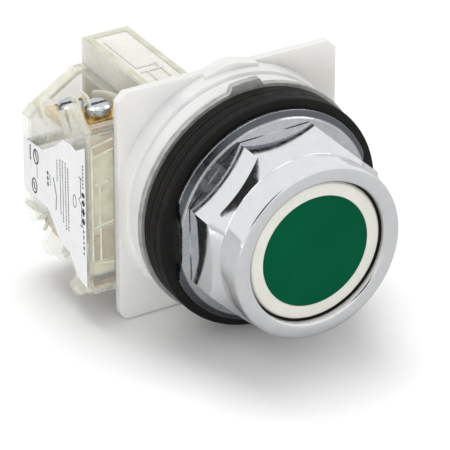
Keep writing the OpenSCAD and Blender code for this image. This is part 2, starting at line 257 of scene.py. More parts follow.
def deep_brass():
    """Brass deepened for the wall of plastic in front of it."""
    s = Surface("deep_brass", (0.50, 0.30, 0.015), 0.4, 0.3)
    s.vary_colour(s.noise(0.9, 5), (0.26, 0.14, 0.008), 0.8)
    s.vary_roughness(s.noise(2, 4), 0.25, 0.5)
    s.bump(s.noise(4, 3, (1, 4, 1)), 0.012, 0.4)
    return s.material


def rubber():
    s = Surface("black_rubber", (0.0065, 0.006, 0.0055), 0.55, 0.0, Specular_IOR_Level=0.16)
    s.vary_colour(s.noise(9, 2), (0.05, 0.046, 0.038), 0.5, 0.7, 0.76)
    s.vary_colour(s.radial_noise(0.2, 3, 9), (0.028, 0.023, 0.018), 0.6, 0.55, 0.62)
    s.vary_roughness(s.noise(0.6, 5), 0.38, 0.66)
    s.bump(s.radial_noise(2.2, 4, 1.6), 0.05, 0.5)
    s.bump(s.noise(4, 3), 0.03, 0.35)
    return s.material


def white_plastic():
    s = Surface("white_plastic", (0.69, 0.687, 0.675), 0.38, 0.0, Specular_IOR_Level=0.4)
    s.glow_through(0.35, (1.0, 0.9, 0.7), 0.004)
    s.vary_colour(s.noise(0.09, 3), (0.65, 0.647, 0.628), 0.7)
    s.vary_roughness(s.noise(1.3, 3), 0.32, 0.46)
    s.bump(s.noise(0.25, 2), 0.05, 0.2)
    s.bump(s.noise(7, 2), 0.006, 0.3)
    return s.material


def cap_plastic():
    s = Surface("cap_plastic", (0.655, 0.65, 0.60), 0.40, 0.0, Specular_IOR_Level=0.4)
    s.glow_through(0.25, (1.0, 0.95, 0.7), 0.0012)
    s.vary_colour(s.noise(0.3, 3), (0.60, 0.59, 0.535), 0.6)
    s.vary_roughness(s.noise(1.5, 3), 0.34, 0.5)
    s.bump(s.noise(6, 2), 0.006, 0.3)
    return s.material


def green_plastic():
    s = Surface("green_plastic", (0.0018, 0.077, 0.034), 0.5, 0.0, Specular_IOR_Level=0.01)
    s.vary_colour(s.noise(0.12, 2), (0.0017, 0.069, 0.0305), 0.8)
    s.vary_roughness(s.noise(2.2, 3), 0.42, 0.56)
    s.bump(s.noise(9, 2), 0.005, 0.35)
    return s.material


def clear_plastic():
    s = Surface("clear_plastic", (0.93, 0.925, 0.86), 0.10, 0.0, IOR=1.45, Alpha=0.26)
    s.vary_colour(s.noise(0.2, 3), (0.80, 0.80, 0.66), 0.6)
    s.vary_roughness(s.noise(0.5, 3), 0.08, 0.28)
    s.bump(s.noise(0.35, 2), 0.06, 0.35)
    return s.material


def clear_edge():
    """The same plastic seen edge on, where it gathers its colour."""
    s = Surface("clear_edge", (0.88, 0.88, 0.80), 0.12, 0.0, IOR=1.45, Alpha=0.62)
    s.vary_colour(s.noise(0.35, 3), (0.66, 0.665, 0.49), 0.8)
    s.vary_roughness(s.noise(0.6, 3), 0.08, 0.25)
    s.bump(s.noise(0.4, 2), 0.05, 0.3)
    return s.material


def pale_yellow():
    s = Surface("pale_yellow", (0.82, 0.78, 0.48), 0.3, 0.0, Alpha=0.9)
    s.vary_colour(s.noise(0.45, 4), (0.60, 0.52, 0.22), 0.75, 0.45, 0.62)
    s.vary_roughness(s.noise(0.6, 3), 0.2, 0.4)
    s.bump(s.noise(0.8, 3), 0.05, 0.4)
    return s.material


def cream_plastic():
    s = Surface("cream_plastic", (0.86, 0.845, 0.80), 0.22, 0.0, Alpha=0.85)
    s.glow_through(0.3, (1.0, 0.95, 0.7), 0.002)
    s.vary_colour(s.noise(0.12, 3), (0.80, 0.785, 0.70), 0.8)
    s.vary_roughness(s.noise(0.6, 3), 0.16, 0.34)
    s.bump(s.noise(0.3, 2), 0.05, 0.3)
    return s.material


def slider_plastic():
    s = Surface("slider_plastic", (0.52, 0.50, 0.38), 0.45)
    s.vary_colour(s.noise(0.4, 3), (0.44, 0.42, 0.31), 0.7)
    s.vary_roughness(s.noise(1.6, 3), 0.36, 0.55)
    s.bump(s.noise(5, 2), 0.01, 0.3)
    return s.material


def dark_plastic():
    s = Surface("dark_plastic", (0.035, 0.035, 0.038), 0.5)
    s.vary_colour(s.noise(0.8, 3), (0.055, 0.055, 0.058), 0.6)
    s.vary_roughness(s.noise(1.6, 3), 0.4, 0.6)
    s.bump(s.noise(6, 2), 0.01, 0.35)
    return s.material


def label_paper():
    s = Surface("label_paper", (0.80, 0.80, 0.81), 0.6)
    s.vary_colour(s.noise(0.5, 4), (0.74, 0.74, 0.76), 0.6)
    s.vary_roughness(s.noise(3, 3), 0.5, 0.7)
    s.bump(s.noise(5, 4), 0.01, 0.4)
    return s.material


def label_ink():
    s = Surface("label_ink", (0.02, 0.02, 0.022), 0.55)
    s.vary_colour(s.noise(6, 3), (0.09, 0.09, 0.095), 0.8)
    s.vary_roughness(s.noise(4, 3), 0.45, 0.65)
    return s.material


LOOKS = {
    "chrome": chrome(), "zinc": satin_zinc(), "washer": washer_steel(), "ring_steel": streaked_steel(),
    "steel": bright_steel(), "spring": spring_steel(), "brass": brass(), "deep_brass": deep_brass(),
    "rubber": rubber(), "white_plastic": white_plastic(), "cap_plastic": cap_plastic(),
    "green_plastic": green_plastic(), "clear_plastic": clear_plastic(), "clear_edge": clear_edge(),
    "pale_yellow": pale_yellow(), "cream_plastic": cream_plastic(), "slider_plastic": slider_plastic(),
    "dark_plastic": dark_plastic(), "label": label_paper(), "ink": label_ink(),
}


# ---------------------------------------------------------------- mesh helpers


def shade(mesh, angle=32):
    """Smooth shading that keeps edges sharper than the angle."""
    mesh.shade_smooth()
    mesh.set_sharp_from_angle(angle=math.radians(angle))


def placed(name, data):
    """A new object in the scene."""
    obj = bpy.data.objects.new(name, data)
    bpy.context.scene.collection.objects.link(obj)
    return obj


def piece(name, mesh, look, node=None, body=None):
    """Makes an object from a mesh, gives it its look, and hands it to the frame."""
    obj = placed(name, mesh)
    mesh.materials.clear()
    mesh.materials.append(LOOKS[look])
    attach(obj, body or BODIES[node])
    if node:
        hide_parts(node)
    return obj


def mesh_from(name, verts, faces):
    """A mesh from points in millimetres, merged and with its normals out."""
    mesh = bpy.data.meshes.new(name)
    mesh.from_pydata([Vector(v) * MM for v in verts], [], faces)
    bm = bmesh.new()
    bm.from_mesh(mesh)
    bmesh.ops.remove_doubles(bm, verts=bm.verts, dist=1e-7)
    bmesh.ops.dissolve_degenerate(bm, edges=bm.edges, dist=1e-8)
    bmesh.ops.recalc_face_normals(bm, faces=bm.faces)
    bm.to_mesh(mesh)
    bm.free()
    return mesh


def fillet(points, radius, steps=4, closed=True):
    """Rounds each corner of an outline; radius may be one number or one for each corner."""
    made = []
    count = len(points)
    radii = radius if isinstance(radius, (list, tuple)) else [radius] * count
    for i, here in enumerate(points):
        if not closed and i in (0, count - 1):
            made.append(tuple(here))
            continue
        p = Vector(here)
        back = Vector(points[i - 1]) - p
        on = Vector(points[(i + 1) % count]) - p
        reach = min(radii[i], 0.45 * back.length, 0.45 * on.length)
        if reach < 1e-4:
            made.append(tuple(here))
            continue
        start = p + back.normalized() * reach
        end = p + on.normalized() * reach
        for k in range(steps + 1):
            t = k / steps
            q = start * (1 - t) ** 2 + p * (2 * t * (1 - t)) + end * t * t
            made.append(tuple(q))
    return made


def turned(name, profile, steps=FINE, reshape=None):
    """Turns a closed outline of (radius, y) about the button's axis; reshape changes a radius by its angle."""
    verts = []
    for i in range(steps):
        angle = 2 * math.pi * i / steps
        for r, y in profile:
            radius = reshape(r, angle) if reshape else r
            verts.append((radius * math.cos(angle), y, radius * math.sin(angle)))
    n = len(profile)
    faces = []
    for i in range(steps):
        a, b = i * n, (i + 1) % steps * n
        for k in range(n):
            m = (k + 1) % n
            if profile[k][0] < 1e-6 and profile[m][0] < 1e-6:
                continue
            faces.append((a + k, a + m, b + m, b + k))
    mesh = mesh_from(name, verts, faces)
    shade(mesh)
    return mesh


def lifted(point, height, axis):
    """A flat point set at a height along an axis; its own numbers run along the other two."""
    a, b = point
    return {"x": (height, a, b), "y": (a, height, b), "z": (a, b, height)}[axis]


def prism(name, outline, low, high, axis="y"):
    """A slab between low and high along an axis, from an outline in the other two."""
    n = len(outline)
    verts = [lifted(p, h, axis) for h in (low, high) for p in outline]
    faces = [tuple(range(n)), tuple(range(2 * n - 1, n - 1, -1))]
    faces += [(k, (k + 1) % n, n + (k + 1) % n, n + k) for k in range(n)]
    return mesh_from(name, verts, faces)


def soften(obj, width, segments=2, angle=38):
    """Bevels the edges sharper than the angle; width is in millimetres."""
    bevel = obj.modifiers.new("soften", "BEVEL")
    bevel.width = width * MM
    bevel.segments = segments
    bevel.limit_method = "ANGLE"
    bevel.angle_limit = math.radians(angle)
    bevel.harden_normals = True
    bevel.use_clamp_overlap = True
    for face in obj.data.polygons:
        face.use_smooth = True


def cad_copy(node):
    """A copy of the CAD node's mesh, and a merged bmesh of it to work on."""
    mesh = NODES[node].data.copy()
    if mesh.attributes.get("custom_normal"):
        mesh.attributes.remove(mesh.attributes["custom_normal"])
    bm = bmesh.new()
    bm.from_mesh(mesh)
    bmesh.ops.remove_doubles(bm, verts=bm.verts, dist=2e-6)
    return mesh, bm


def refined(node, look, width, name=None, segments=2):
    """The CAD node's own shape, cleaned up and with its sharp edges softened."""
    mesh, bm = cad_copy(node)
    bmesh.ops.dissolve_limit(bm, angle_limit=math.radians(0.5), verts=bm.verts, edges=bm.edges)
    for face in bm.faces:
        face.smooth = True
    bm.to_mesh(mesh)
    bm.free()
    soften(piece(name or node + "_finished", mesh, look, node), width, segments)


def corners(node):
    """The lowest and highest corner of a CAD node, in millimetres."""
    low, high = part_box(node)
    return low / MM, high / MM


# ---------------------------------------------------------------- front pieces


# radii, and places along Y, in millimetres
BARREL_R = 15
NUT_FRONT = corners("ring_nut")[0].y
NUT_BACK = corners("ring_nut")[1].y
NUT_APOTHEM = 16.45
NUT_CORNER = 17.9
NUT_TURN = math.radians(1.5)
CHAMFER_BACK = -7.9
CHAMFER_FRONT = -9.2
SHOULDER = -10.2
BEZEL_R = 15.8
BEZEL_ROOT_R = BEZEL_R - 0.25
BEZEL_BACK = -13.2
OPENING_R = 12.9
DOME_STEPS = 24
DOME_HEIGHT = 0.72
WASHER_CORE_R = 17
WASHER_FLAT = 17.95
GASKET_CORE_R = 18.5
GROOVES = 3
GROOVE_DEPTH = 0.13
GROOVE_STEPS = 48
RIM_ROUNDING = 0.18
RIM_MARGIN = 0.03
RIM_WAVES = ((2, 1, 0.04), (5, 2, 0.02))  # waves round the rim, share of the gasket's own turn, height
RING_R = 21.6
RING_STEPS = 720
TAB_R = 22
TAB_TURN = math.radians(93.5)
TAB_HALF_WIDTH = 3.5
TAB_EASE = 1.1
TAB_RISE = 1.2
RIM_ONLY = 20  # radius beyond which gaskets and the locating ring change shape
CAP_R = 12.59
CAP_INNER_R = 11.2
CAP_BACK = -6
RECESS_R = 10.08
INSERT_R = 10.06
INSERT_DEPTH = 0.5
CAP_FACE = 2.4


def common(mesh, other):
    """The part that two closed meshes share."""
    made = [placed("shape", mesh), placed("tool", other)]
    cut = made[0].modifiers.new("cut", "BOOLEAN")
    cut.operation = "INTERSECT"
    cut.solver = "EXACT"
    cut.object = made[1]
    result = bpy.data.meshes.new_from_object(made[0].evaluated_get(bpy.context.evaluated_depsgraph_get()))
    for obj in made:
        bpy.data.objects.remove(obj)
    return result


def joined(name, *meshes):
    """One mesh that holds several separate closed ones."""
    bm = bmesh.new()
    for mesh in meshes:
        bm.from_mesh(mesh)
    whole = bpy.data.meshes.new(name)
    bm.to_mesh(whole)
    bm.free()
    return whole


def regular(sides, apothem, turn):
    """Corners of a regular polygon whose first side faces the given direction."""
    r = apothem / math.cos(math.pi / sides)
    angles = [turn + math.pi * (2 * k + 1) / sides for k in range(sides)]
    return [(r * math.cos(a), r * math.sin(a)) for a in angles]


def ring_nut():
    """Octagonal nut with chamfered corners; its round bezel is turned in one piece with it."""
    round_part = turned("nut_round", [
        (BARREL_R, NUT_BACK), (NUT_CORNER, NUT_BACK), (NUT_CORNER, CHAMFER_BACK), (NUT_APOTHEM, CHAMFER_FRONT),
        (BEZEL_ROOT_R, SHOULDER), (BARREL_R, SHOULDER),
    ], VERY_FINE)
    flats = prism("nut_flats", regular(8, NUT_APOTHEM, NUT_TURN), SHOULDER - 1, NUT_BACK + 1)
    dome = []
    for k in range(DOME_STEPS + 1):
        t = k / DOME_STEPS
        lift = (1 - abs(2 * t - 1) ** 3) ** (1 / 3)
        dome.append((BEZEL_R - (BEZEL_R - OPENING_R) * t, NUT_FRONT + DOME_HEIGHT - DOME_HEIGHT * lift))
    side = fillet([
        (BARREL_R, SHOULDER), (BEZEL_ROOT_R, SHOULDER), (BEZEL_R, SHOULDER - 0.3),
        (BEZEL_R, NUT_FRONT + DOME_HEIGHT + 0.02),
    ], [0, 0, 0.2, 0], closed=False)
    bezel = turned("nut_bezel", side + dome + [(OPENING_R, BEZEL_BACK), (BARREL_R, BEZEL_BACK)], VERY_FINE)
    mesh = joined("ring_nut_plated", common(round_part, flats), bezel)
    soften(piece("ring_nut_plated", mesh, "chrome", "ring_nut"), 0.16, 3, 22)


def washer_radius(r, angle):
    """Cuts the washer's rim flat on its left and right."""
    if r < WASHER_CORE_R:
        return r
    return min(r, WASHER_FLAT / max(1e-3, abs(math.cos(angle))))


def trim_washer():
    """Stepped washer under the nut: a raised ring, a dark step and a rim."""
    profile = fillet([
        (BARREL_R, 0), (19.2, 0), (19.5, -0.35), (19.45, -0.95), (18.5, -1.5), (18.25, -1.95),
        (16.5, -1.98), (16.3, NUT_BACK), (BARREL_R, NUT_BACK),
    ], 0.12, 3)
    mesh = turned("trim_washer_plated", profile, VERY_FINE, washer_radius)
    piece("trim_washer_plated", mesh, "washer", "trim_washer")


def gasket(node, wave):
    """A moulded gasket: its rim has fine grooves and is a little uneven, as soft rubber is."""
    low, high = corners(node)
    thick = high.y - low.y
    rim = []
    for k in range(GROOVE_STEPS + 1):
        t = k / GROOVE_STEPS
        groove = GROOVE_DEPTH * (0.5 + 0.5 * math.cos(2 * math.pi * GROOVES * t)) ** 5
        rounding = RIM_ROUNDING * abs(2 * t - 1) ** 6
        rim.append((high.x - RIM_MARGIN - groove - rounding, low.y + thick * t))
    core = [(BARREL_R, low.y), (GASKET_CORE_R, low.y)]
    profile = core + rim + [(GASKET_CORE_R, high.y), (BARREL_R, high.y)]

    def uneven(r, angle):
        if r < RIM_ONLY:
            return r
        return r - RIM_MARGIN + sum(rise * math.sin(n * angle + share * wave) for n, share, rise in RIM_WAVES)

    piece(node + "_moulded", turned(node + "_moulded", profile, FINE, uneven), "rubber", node)


def locating_ring():
    """Thin pressed ring with a tab near its top, which fits the panel's notch."""
    low, high = corners("locating_ring")

    def with_tab(r, angle):
        if r < RIM_ONLY:
            return r
        away = abs((angle - TAB_TURN + math.pi) % (2 * math.pi) - math.pi) * TAB_R
        tab = max(0.0, min(1.0, (TAB_HALF_WIDTH - away) / TAB_EASE))
        return r + TAB_RISE * tab * tab * (3 - 2 * tab)

    profile = fillet([(BARREL_R, low.y), (RING_R, low.y), (RING_R, high.y), (BARREL_R, high.y)], 0.18, 3)
    mesh = turned("locating_ring_pressed", profile, RING_STEPS, with_tab)
    piece("locating_ring_pressed", mesh, "ring_steel", "locating_ring")


def button():
    """The cap, hollow behind, and the coloured disc set in its face."""
    front = corners("button_cap")[0].y
    cap = fillet([
        (0, front + INSERT_DEPTH), (RECESS_R, front + INSERT_DEPTH), (RECESS_R, front + 0.06), (10.25, front),
        (12.2, front), (CAP_R, front + 0.4), (CAP_R, CAP_BACK), (CAP_INNER_R, CAP_BACK),
        (CAP_INNER_R, front + CAP_FACE), (0, front + CAP_FACE),
    ], [0, 0.03, 0.05, 0.05, 0.2, 0.2, 0.1, 0.1, 0.1, 0])
    piece("button_cap_moulded", turned("button_cap_moulded", cap), "cap_plastic", "button_cap")
    insert = fillet([
        (0, front - 0.02), (INSERT_R, front - 0.02), (INSERT_R, front + INSERT_DEPTH), (0, front + INSERT_DEPTH),
    ], [0, 0.1, 0.02, 0])
    piece("colour_insert_disc", turned("colour_insert_disc", insert), "green_plastic", "colour_insert")


# ---------------------------------------------------------------- springs


TURN_STEPS = 32
WIRE_SIDES = 10
WIRE_SHADE = 60


def coil(node, wire, active, squashed=None):
    """A compression spring wound along Y inside its CAD sleeve, with one closed turn at each end."""
    low, high = corners(node)
    centre_x, centre_z = (low.x + high.x) / 2, (low.z + high.z) / 2
    radius = (high.x - low.x - wire) / 2
    length = high.y - low.y
    turns = active + 2
    pitch = (length - 3 * wire) / active
    steps, sides = int(turns * TURN_STEPS), WIRE_SIDES
    verts, faces = [], []
    for i in range(steps + 1):
        u = turns * i / steps
        climb = min(u, 1) * wire + max(0, min(u - 1, active)) * pitch + max(0, u - 1 - active) * wire
        angle = 2 * math.pi * u
        out = Vector((math.cos(angle), 0, math.sin(angle)))
        core = Vector((centre_x, low.y + wire / 2 + climb, centre_z)) + out * radius
        for k in range(sides):
            turn = 2 * math.pi * k / sides
            verts.append(core + (out * math.cos(turn) + Vector((0, math.sin(turn), 0))) * wire / 2)
    for i in range(steps):
        for k in range(sides):
            m = (k + 1) % sides
            faces.append((i * sides + k, i * sides + m, (i + 1) * sides + m, (i + 1) * sides + k))
    faces += [tuple(range(sides)), tuple(steps * sides + k for k in range(sides))]
    mesh = mesh_from(node + "_coil", verts, faces)
    shade(mesh, WIRE_SHADE)
    spring = piece(node + "_coil", mesh, "spring", node)
    if squashed:
        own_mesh(spring)


# ---------------------------------------------------------------- contact block


# distances in millimetres; the base's back face is where depths are measured from
BASE_BACK = corners("operator_base")[1].y
CASE_LOW, CASE_HIGH = corners("block_case_left")
TALL_LOW, TALL_HIGH = corners("block_case_right")
WALL = 1.2
OUTER_X = CASE_LOW.x
SPLIT_X = TALL_LOW.x
FACE_X = corners("block_label")[0].x
FIN_FOOT = 14.2
FIN_TOP = 15.4
FIN_BAR_HALF = 2.6
SIDES = (("upper", 1), ("lower", -1))
SCREW_CENTRE = (OUTER_X + 4.7, BASE_BACK + 4.5)
COVER_R = 4.2
COVER_INNER_R = 3.5
COVER_LOW = 14.5
COVER_HIGH = 18.2
COVER_TURN = 150  # degrees of wall round each screw
COVER_STEPS = 24
# clearance round the cap of the black ring that paints shade into the bezel's gap
GAP_SHADE_CLEARANCE = 0.07
LINE_HEIGHT = 0.22
LABEL_SEED = 7


def at_depth(points):
    """Points of depth behind the base and height, in the part's own Y and Z."""
    return [(BASE_BACK + depth, z) for depth, z in points]


def mirrored(points):
    """An outline drawn from its top half, with the bottom half as its mirror image."""
    return points + [(a, -b) for a, b in reversed(points)]


def case_shell():
    """The stepped shell under the terminals, cut free of the outer wall, which has its own outline."""
    mesh, bm = cad_copy("block_case_left")
    cut = bmesh.ops.bisect_plane(
        bm, geom=bm.verts[:] + bm.edges[:] + bm.faces[:], plane_co=Vector((OUTER_X + WALL, 0, 0)) * MM,
        plane_no=(-1, 0, 0), clear_outer=True)
    rim = [e for e in cut["geom_cut"] if isinstance(e, bmesh.types.BMEdge)]
    bmesh.ops.holes_fill(bm, edges=rim)
    bmesh.ops.dissolve_limit(bm, angle_limit=math.radians(0.5), verts=bm.verts, edges=bm.edges)
    bm.to_mesh(mesh)
    bm.free()
    soften(piece("case_left_shell", mesh, "clear_plastic", "block_case_left"), 0.18)


def case_piece(name, mesh, look="clear_plastic", width=0.15):
    """A further moulded piece of the block's case."""
    soften(piece(name, mesh, look, body="housing"), width)


def case_outer_wall():
    """The outer wall's rounded lobes, and the deep notches that the wires come in through."""
    outline = fillet(mirrored(at_depth([
        (0.05, 15.4), (5.1, 18.6), (7.6, 17.3), (4.9, 14.2), (5.9, 11), (8.1, 13), (10.4, 14.3),
        (11.9, 14), (15.3, 15.6), (17.8, 14.4), (14.1, 9), (14.6, 7), (16.2, 8.6), (18.8, 10.7),
        (21.1, 11.6), (CASE_HIGH.y - BASE_BACK, 8.7),
    ])), 1.1, 4)
    case_piece("case_outer_wall", prism("case_outer_wall", outline, OUTER_X, OUTER_X + WALL, "x"), width=0.3)


def rib(name, inset, outset, foot, head, thick):
    """A slanted barrier beside a terminal, from inset to outset behind the case's outer face.

    foot and head are the (depth, height) of the ends of its front edge.
    """
    front = [foot, head]
    back = [(head[0] + thick, head[1]), (foot[0] + thick, foot[1])]
    outline = fillet(at_depth(front + back), 0.25, 3)
    for side, sign in SIDES:
        mesh = prism(f"{name}_{side}", [(y, sign * z) for y, z in outline], OUTER_X + inset, OUTER_X + outset, "x")
        case_piece(f"{name}_{side}", mesh, "clear_edge", 0.12)


def case_ribs():
    """The barriers beside the terminals, from front to rear."""
    rib("barrier_front", 1.3, 1.7, (2.2, 13.6), (5.4, 18.9), 2.6)
    rib("barrier_front_inner", 3.0, 3.4, (1.8, 14.4), (5.0, 19.2), 2.4)
    rib("barrier_middle", 1.2, 1.8, (8.4, 10.2), (10.6, 14.2), 0.7)
    rib("barrier_middle_inner", 1.2, 5.2, (9.6, 9.6), (11.8, 13.8), 0.5)
    rib("barrier_rear", 1.2, 1.7, (16.4, 8.8), (18.4, 12.6), 0.7)
    rib("barrier_rear_inner", 1.2, 4.0, (18.6, 9.4), (20.6, 11.4), 0.5)


def frame_slab(name, outer, inner, low, high, axis):
    """A flat frame: the outline of two corner-to-corner rectangles, between low and high along an axis."""
    def rectangle(box):
        (a0, b0), (a1, b1) = box
        return [(a0, b0), (a1, b0), (a1, b1), (a0, b1)]

    loops = [rectangle(outer), rectangle(inner)]
    verts = [lifted(p, h, axis) for h in (low, high) for loop in loops for p in loop]
    faces = []
    for k in range(4):
        m = (k + 1) % 4
        faces += [(k, m, 4 + m, 4 + k), (8 + k, 12 + k, 12 + m, 8 + m)]
        faces += [(k, 8 + k, 8 + m, m), (4 + k, 4 + m, 12 + m, 12 + k)]
    return mesh_from(name, verts, faces)


def ribbon(name, points, width, low, high, axis):
    """A band of even width that follows an open line, between low and high along an axis."""
    left, right = [], []
    for i, here in enumerate(points):
        before = Vector(points[max(0, i - 1)])
        after = Vector(points[min(len(points) - 1, i + 1)])
        along = (after - before).normalized()
        across = Vector((-along.y, along.x)) * width / 2
        left.append(tuple(Vector(here) + across))
        right.append(tuple(Vector(here) - across))
    return prism(name, left + right[::-1], low, high, axis)


def case_rear_fin():
    """The thick sloping edge of the fin behind the terminals."""
    slope = [
        (OUTER_X + 0.2, 8.5), (OUTER_X + 1.5, 9.7), (SPLIT_X - 2.1, FIN_TOP - 0.5), (SPLIT_X + 0.2, FIN_TOP - 0.4),
    ]
    for side, sign in SIDES:
        name = "fin_edge_" + side
        mesh = ribbon(name, [(x, sign * z) for x, z in slope], 0.9, CASE_HIGH.y - 2.4, CASE_HIGH.y, "y")
        case_piece(name, mesh, "clear_edge", 0.15)
        name = "fin_bar_" + side
        left, right = SPLIT_X - FIN_BAR_HALF, SPLIT_X + FIN_BAR_HALF
        foot, top = sign * FIN_FOOT, sign * FIN_TOP
        outline = [(left, foot), (right, foot), (right, top), (left, top)]
        case_piece(name, prism(name, outline, CASE_HIGH.y - 1.2, CASE_HIGH.y, "y"), "clear_edge", 0.2)


def screw_covers():
    """A clear round wall half around each front screw, against the split between the halves."""
    x, y = SCREW_CENTRE
    for side, sign in SIDES:
        outer, inner = [], []
        for k in range(COVER_STEPS + 1):
            angle = math.radians(COVER_TURN * (k / COVER_STEPS - 0.5))
            for ring, r in ((outer, COVER_R), (inner, COVER_INNER_R)):
                ring.append((x + r * math.cos(angle), y + r * math.sin(angle)))
        z0, z1 = sorted((sign * COVER_LOW, sign * COVER_HIGH))
        case_piece("screw_cover_" + side, prism("screw_cover_" + side, outer + inner[::-1], z0, z1, "z"))


def gap_shade_ring():
    """A thin black ring in the gap round the cap, just inside the bezel: painted shade that makes the gap read
    dark.
    """
    cap_r = corners("button_cap")[1].x
    inner, outer = cap_r + GAP_SHADE_CLEARANCE, OPENING_R - 0.01
    dark_fill = turned("gap_shade_ring", [(inner, -14.35), (outer, -14.75), (outer, BEZEL_BACK), (inner, BEZEL_BACK)])
    piece("gap_shade_ring", dark_fill, "rubber", body="housing")


def tall_half():
    """The tall half: the CAD case, with a raised border and fine moulding lines on its faces."""
    refined("block_case_right", "cream_plastic", 0.35, "case_right_shell", 3)
    low, high = TALL_LOW, TALL_HIGH
    for side, sign in (("top", 1), ("bottom", -1)):
        z = sorted((sign * high.z, sign * (high.z + LINE_HEIGHT)))
        frame_mesh = frame_slab(
            "tall_border_" + side, ((low.x + 0.15, low.y + 0.1), (high.x - 0.15, high.y - 0.15)),
            ((low.x + 1.5, low.y + 1.6), (high.x - 1.3, high.y - 1.7)), *z, "z")
        case_piece("tall_border_" + side, frame_mesh, "clear_edge", 0.08)
        for count, (offset, depth0, depth1) in enumerate(((2.4, 8.5, 19.5), (6.1, 3, 9), (3.4, 2.2, 6.4))):
            line = [(low.x + offset, low.y + depth0), (low.x + offset, low.y + depth1)]
            name = f"tall_line_{side}_{count}"
            case_piece(name, ribbon(name, line, 0.3, *z, "z"), "cream_plastic", 0.04)
        for count, depth in enumerate((6.4, 8.3)):
            line = [(low.x + 2.2, low.y + depth), (low.x + 6.6, low.y + depth)]
            name = f"tall_cross_{side}_{count}"
            case_piece(name, ribbon(name, line, 0.3, *z, "z"), "cream_plastic", 0.04)


def ring_line(centre, size, steps=20):
    """Points round an ellipse, with the first one again at the end."""
    angles = [2 * math.pi * k / steps for k in range(steps + 1)]
    return [(centre[0] + size[0] * math.cos(a), centre[1] + size[1] * math.sin(a)) for a in angles]


def front_window():
    """Bars and two dots on the front wall, beside the plate."""
    y0, y1 = BASE_BACK - 0.2, BASE_BACK + 0.02
    left = OUTER_X + 0.9
    edge = OUTER_X + 5
    lines = [
        [(left, 10.4), (edge, 11.3)],
        [(left + 0.2, -3), (edge, -2.4)],
        [(left + 0.3, -9.8), (edge, -10.4)],
        [(left + 0.1, -9.6), (left + 0.1, 12.2)],
        [(left + 1.5, -3), (left + 1.5, 5)],
        [(left + 1.6, -9.6), (left + 1.6, -3.2)],
        [(left, 12.4), (edge, 13.2)],
    ]
    for count, line in enumerate(lines):
        name = f"window_bar_{count}"
        case_piece(name, ribbon(name, line, 0.32, y0, y1, "y"), "clear_edge", 0.05)
    for count, (x, z) in enumerate(((left + 0.9, 5.2), (left + 2.8, 5.4))):
        name = f"window_dot_{count}"
        outline = ring_line((x, z), (0.3, 0.3), 12)[:-1]
        case_piece(name, prism(name, outline, y0, y1, "y"), "clear_edge", 0.05)


def window_backing():
    """Pale inner wall behind the front window."""
    left, right, half = OUTER_X + 1.4, OUTER_X + 6.2, 13.4
    outline = fillet([(left, -half), (right, -half), (right, half), (left, half)], 0.4)
    wall = prism("window_backing", outline, BASE_BACK + 2.1, BASE_BACK + 2.5, "y")
    case_piece("window_backing", wall, "pale_yellow", 0.1)


def contact_blades():
    """Brass blades of the fixed contacts, seen through the front wall."""
    left, step, right = OUTER_X + 2.1, OUTER_X + 3.9, OUTER_X + 5.9
    for side, z0, z1 in (("upper", 9.9, 13.1), ("lower", -10.4, -4.8)):
        outline = [
            (left, z0), (right, z0), (right, z1), (step, z1), (step - 0.2, z1 - 0.9), (left, z1 - 0.9),
        ]
        mesh = prism("contact_blade_" + side, outline, BASE_BACK + 1.35, BASE_BACK + 2.0, "y")
        soften(piece("contact_blade_" + side, mesh, "deep_brass", body="housing"), 0.1)


def label_marks():
    """Generic printed marks: rows of dashes, two ellipses and a line diagram, with no letters."""
    rng = random.Random(LABEL_SEED)
    strokes = []

    def column(depth, top, bottom, tall, gap, width):
        """A row of dashes down the label, some of them crossed."""
        z = top
        while z > bottom:
            dash = rng.uniform(0.5, 1.0) * tall
            strokes.append(([(depth, z), (depth + rng.uniform(-0.06, 0.06), z - dash)], width))
            if rng.random() < 0.6:
                middle, reach = z - dash / 2, tall * 0.3
                strokes.append(([(depth - reach, middle), (depth + reach, middle)], width))
            z -= dash + gap

    for row in (
        (10.4, 5.6, 1.6, 0.5, 0.16, 0.17),
        (9.3, 6.2, -4.2, 0.5, 0.16, 0.17),
        (8.4, 6.4, -5.6, 0.5, 0.16, 0.17),
        (7.4, 6.4, -6.2, 0.5, 0.16, 0.17),
        (6.5, 5.8, -6.6, 0.5, 0.16, 0.17),
        (1.1, 8.8, 4.6, 0.6, 0.3, 0.3),
        (1.1, 3.6, -2.6, 1.7, 0.45, 0.5),
        (1.1, -3.6, -8.6, 0.7, 0.5, 0.36),
        (20.3, 4.0, 1.0, 0.6, 0.2, 0.42),
        (17.9, 2.2, -1.4, 0.36, 0.2, 0.12),
        (13.9, 1.8, -0.9, 0.9, 0.3, 0.34),
        (13.1, 1.4, -0.4, 0.4, 0.25, 0.2),
    ):
        column(*row)
    strokes += [
        (ring_line((18.2, 2.6), (0.85, 1.35)), 0.3),
        (ring_line((19.0, -3.4), (0.85, 1.35)), 0.3),
        ([(18.5, 3.6), (18.0, 2.2)], 0.3),
        ([(19.2, -2.7), (18.8, -4.1)], 0.3),
        (ring_line((4.2, 0.6), (0.55, 1.2)), 0.14),
        ([(11.9, 1.6), (11.2, -0.4), (10.9, -1.6), (11.1, -4.4)], 0.2),
        ([(2.0, 6.0), (1.9, 2.4), (2.7, 1.7), (1.7, 0.9), (1.7, -3.2)], 0.2),
        ([(2.7, 6.0), (1.4, 6.0)], 0.16),
        ([(2.4, -3.2), (1.1, -3.2)], 0.16),
    ]
    bm = bmesh.new()
    for points, width in strokes:
        part = ribbon("stroke", at_depth(points), width, FACE_X - 0.03, FACE_X + 0.01, "x")
        bm.from_mesh(part)
        bpy.data.meshes.remove(part)
    mesh = bpy.data.meshes.new("label_marks")
    bm.to_mesh(mesh)
    bm.free()
    piece("label_marks", mesh, "ink", body="housing")


